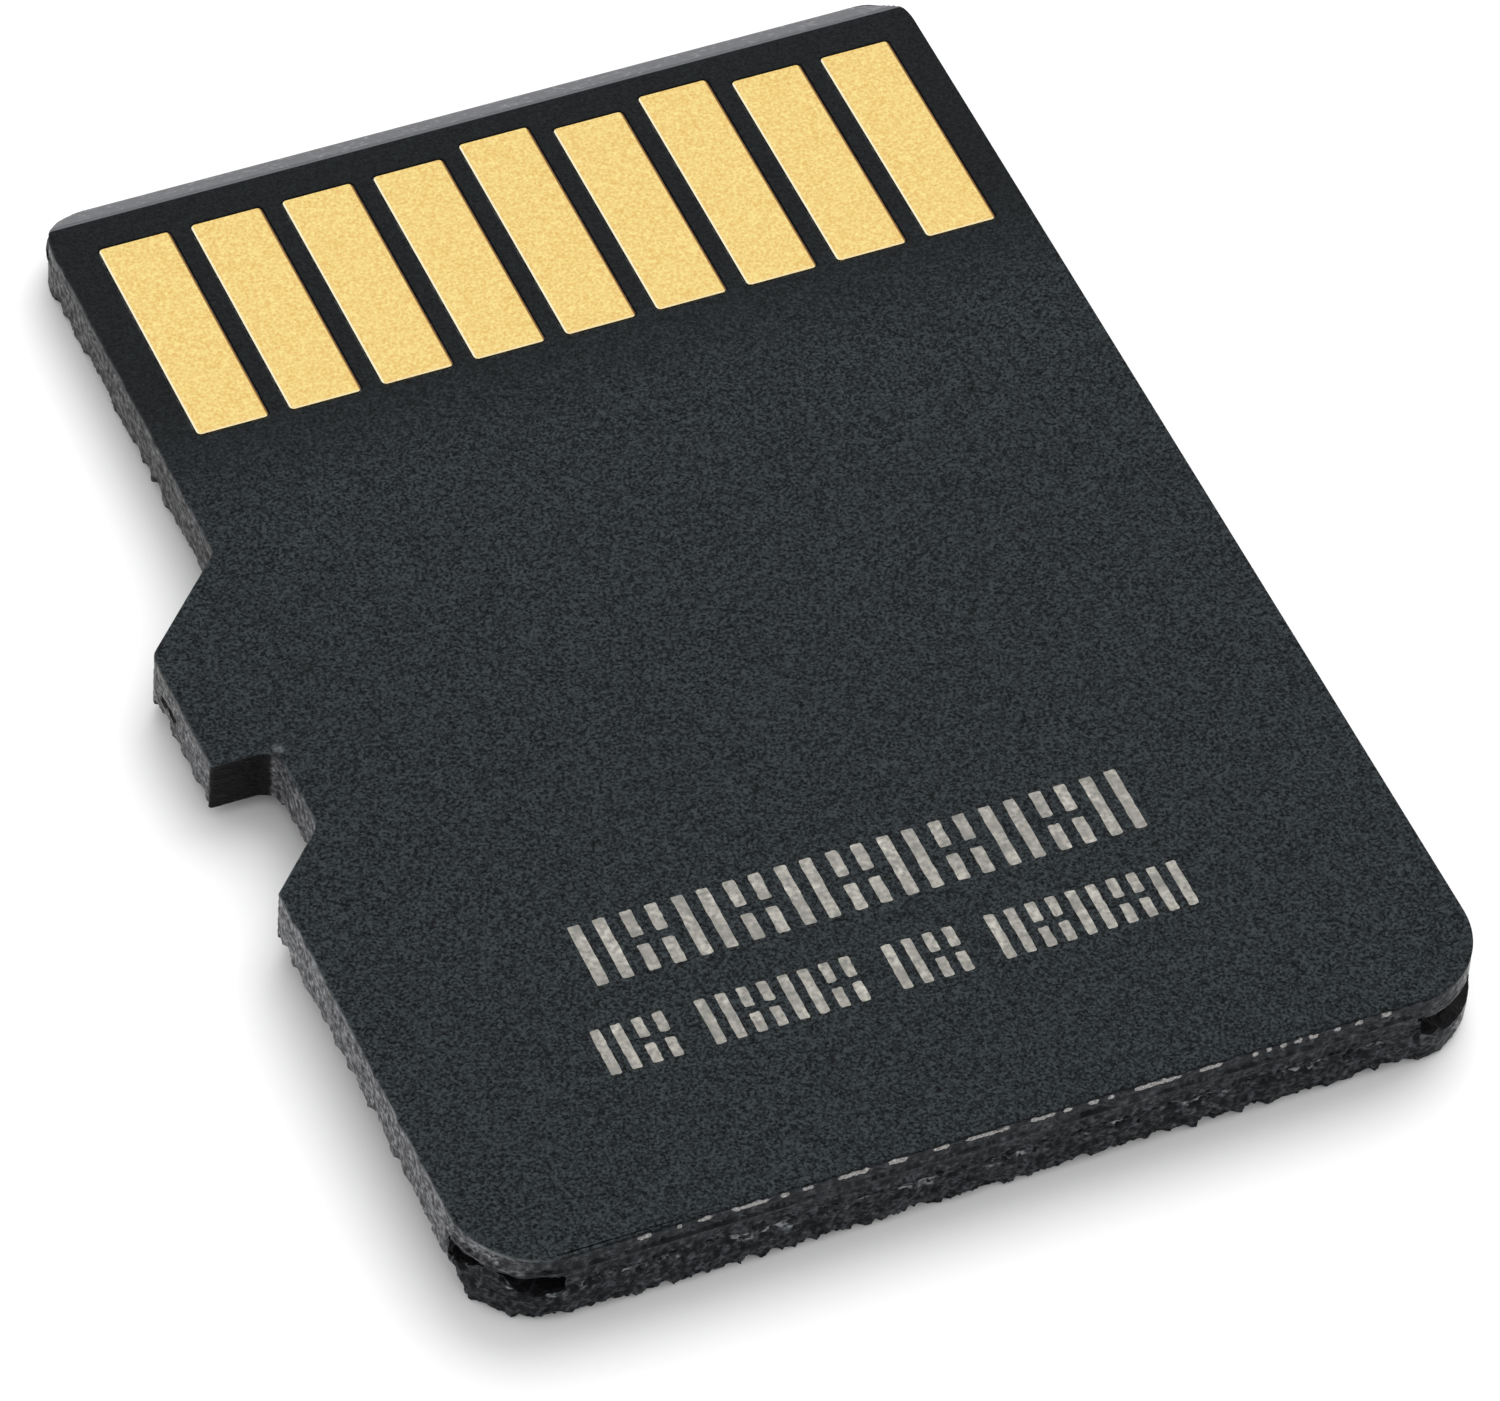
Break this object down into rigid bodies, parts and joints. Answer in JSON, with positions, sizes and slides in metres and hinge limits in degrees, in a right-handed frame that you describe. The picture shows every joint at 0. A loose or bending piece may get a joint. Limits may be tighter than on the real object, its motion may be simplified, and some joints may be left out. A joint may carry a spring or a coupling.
{
  "type": "microsd card",
  "caption": "Thin notched memory card with gold edge contacts on one face, a grip ridge on the other, and its laminate, chips and bond wires inside.",
  "frame": {"origin": "middle of the bounding box's base, below the middle of the card", "axes": "+Z out of the contact face, +Y towards the contact end, -X towards the notched long side"},
  "size_m": [0.011, 0.015, 0.001],
  "materials": {
    "moulding": "matt black moulding compound, saw-cut at the edges",
    "laminate": "cut glass-resin laminate",
    "outer_mask": "matt black solder mask",
    "inner_mask": "satin green solder mask",
    "gold": "fine-grained gold plating",
    "cut_metal": "bright cut trace ends",
    "copper": "etched copper",
    "silicon": "polished silicon",
    "film": "die-attach film",
    "bond_wire": "drawn gold wire",
    "capacitor_ceramic": "fired ceramic",
    "resistor_ceramic": "glazed black ceramic",
    "tin": "tinned metal"
  },
  "bodies": {
    "root": {"moulded_body": "moulding", "laminate_core": "laminate", "outer_solder_mask": "outer_mask", "inner_solder_mask": "inner_mask", "contact_pad_1": "gold", "contact_pad_2": "gold", "contact_pad_3": "gold", "contact_pad_4": "gold", "contact_pad_5": "gold", "contact_pad_6": "gold", "contact_pad_7": "gold", "contact_pad_8": "gold", "contact_pad_9": "gold", "plating_trace_ends": "cut_metal", "plated_vias": "copper", "contact_traces": "copper", "channel_traces": "copper", "chip_lands": "copper", "flash_die_1": "silicon", "flash_die_2": "silicon", "flash_film_1": "film", "flash_film_2": "film", "controller_die": "silicon", "controller_film": "film", "contact_bond_wires": "bond_wire", "channel_bond_wires": "bond_wire", "flash_bond_wires": "bond_wire", "stack_bond_wires": "bond_wire", "capacitor_bodies": "capacitor_ceramic", "capacitor_end_caps": "tin", "resistor_bodies": "resistor_ceramic", "resistor_end_caps": "tin", "solder_joints": "tin"}
  },
  "joints": []
}
